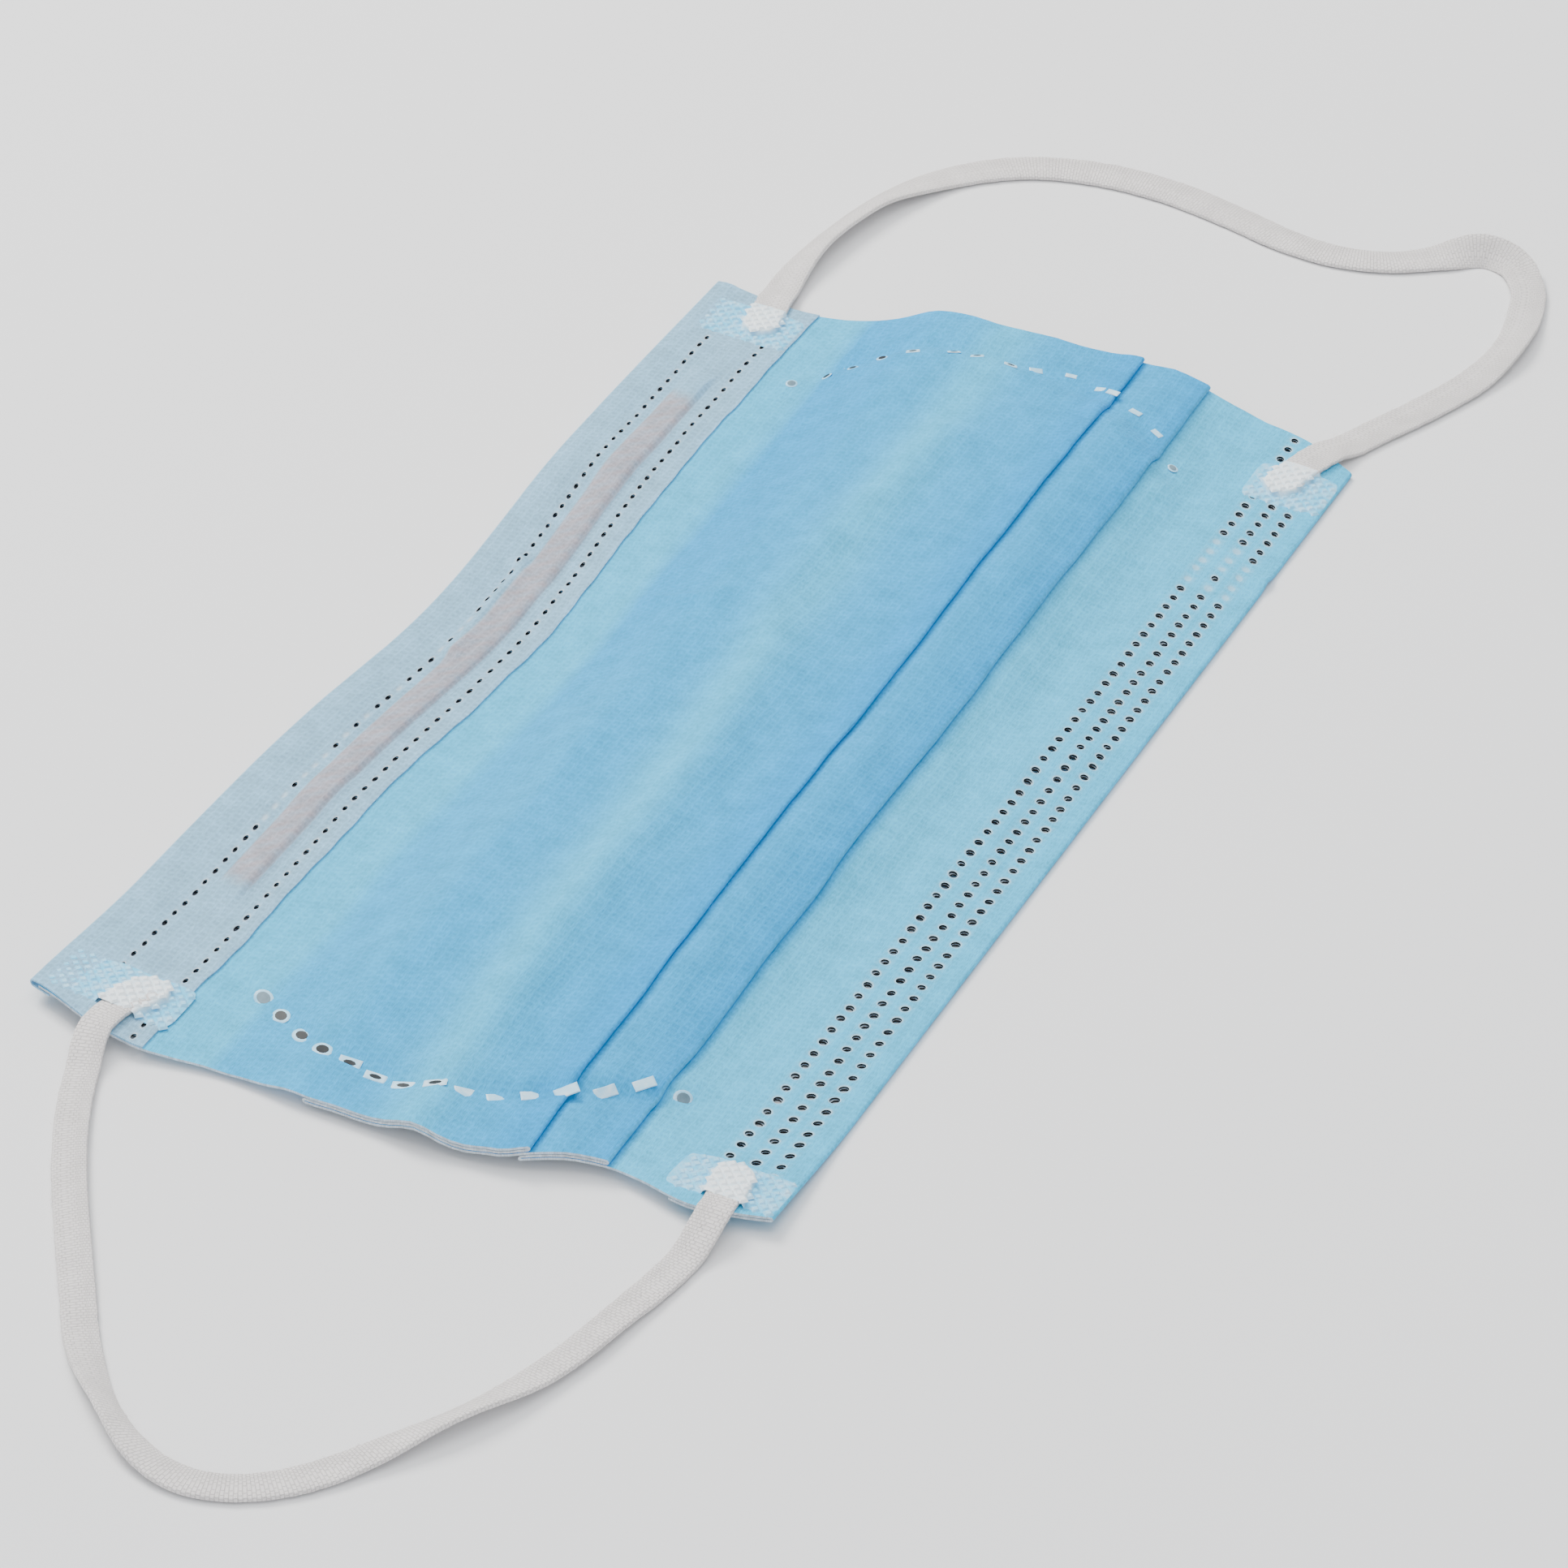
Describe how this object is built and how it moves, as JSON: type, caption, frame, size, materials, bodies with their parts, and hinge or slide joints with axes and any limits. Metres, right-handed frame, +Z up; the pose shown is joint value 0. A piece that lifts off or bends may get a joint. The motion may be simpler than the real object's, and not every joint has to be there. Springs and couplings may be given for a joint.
{
  "type": "surgical face mask",
  "caption": "Flat pleated face mask lying outer face up, with a turned-over nose hem, a nose wire and an elastic ear loop at each short end.",
  "frame": {"origin": "centre of the mask's footprint, without its ear loops, at the height of the surface that it lies on", "axes": "+X along the mask's long side, +Y towards the nose edge, +Z up, out of the outer face"},
  "size_m": [0.2904, 0.098, 0.0111],
  "materials": {
    "blue_nonwoven": "spunbond polypropylene, matt",
    "white_nonwoven": "thin spunbond polypropylene, slightly see-through",
    "nose_wire": "plastic-coated wire",
    "ear_elastic": "flat knitted elastic"
  },
  "bodies": {
    "root": {"mask_panel": "blue_nonwoven", "nose_header": "white_nonwoven", "nose_wire": "nose_wire", "ear_loop_near": "ear_elastic", "ear_loop_far": "ear_elastic"}
  },
  "joints": []
}
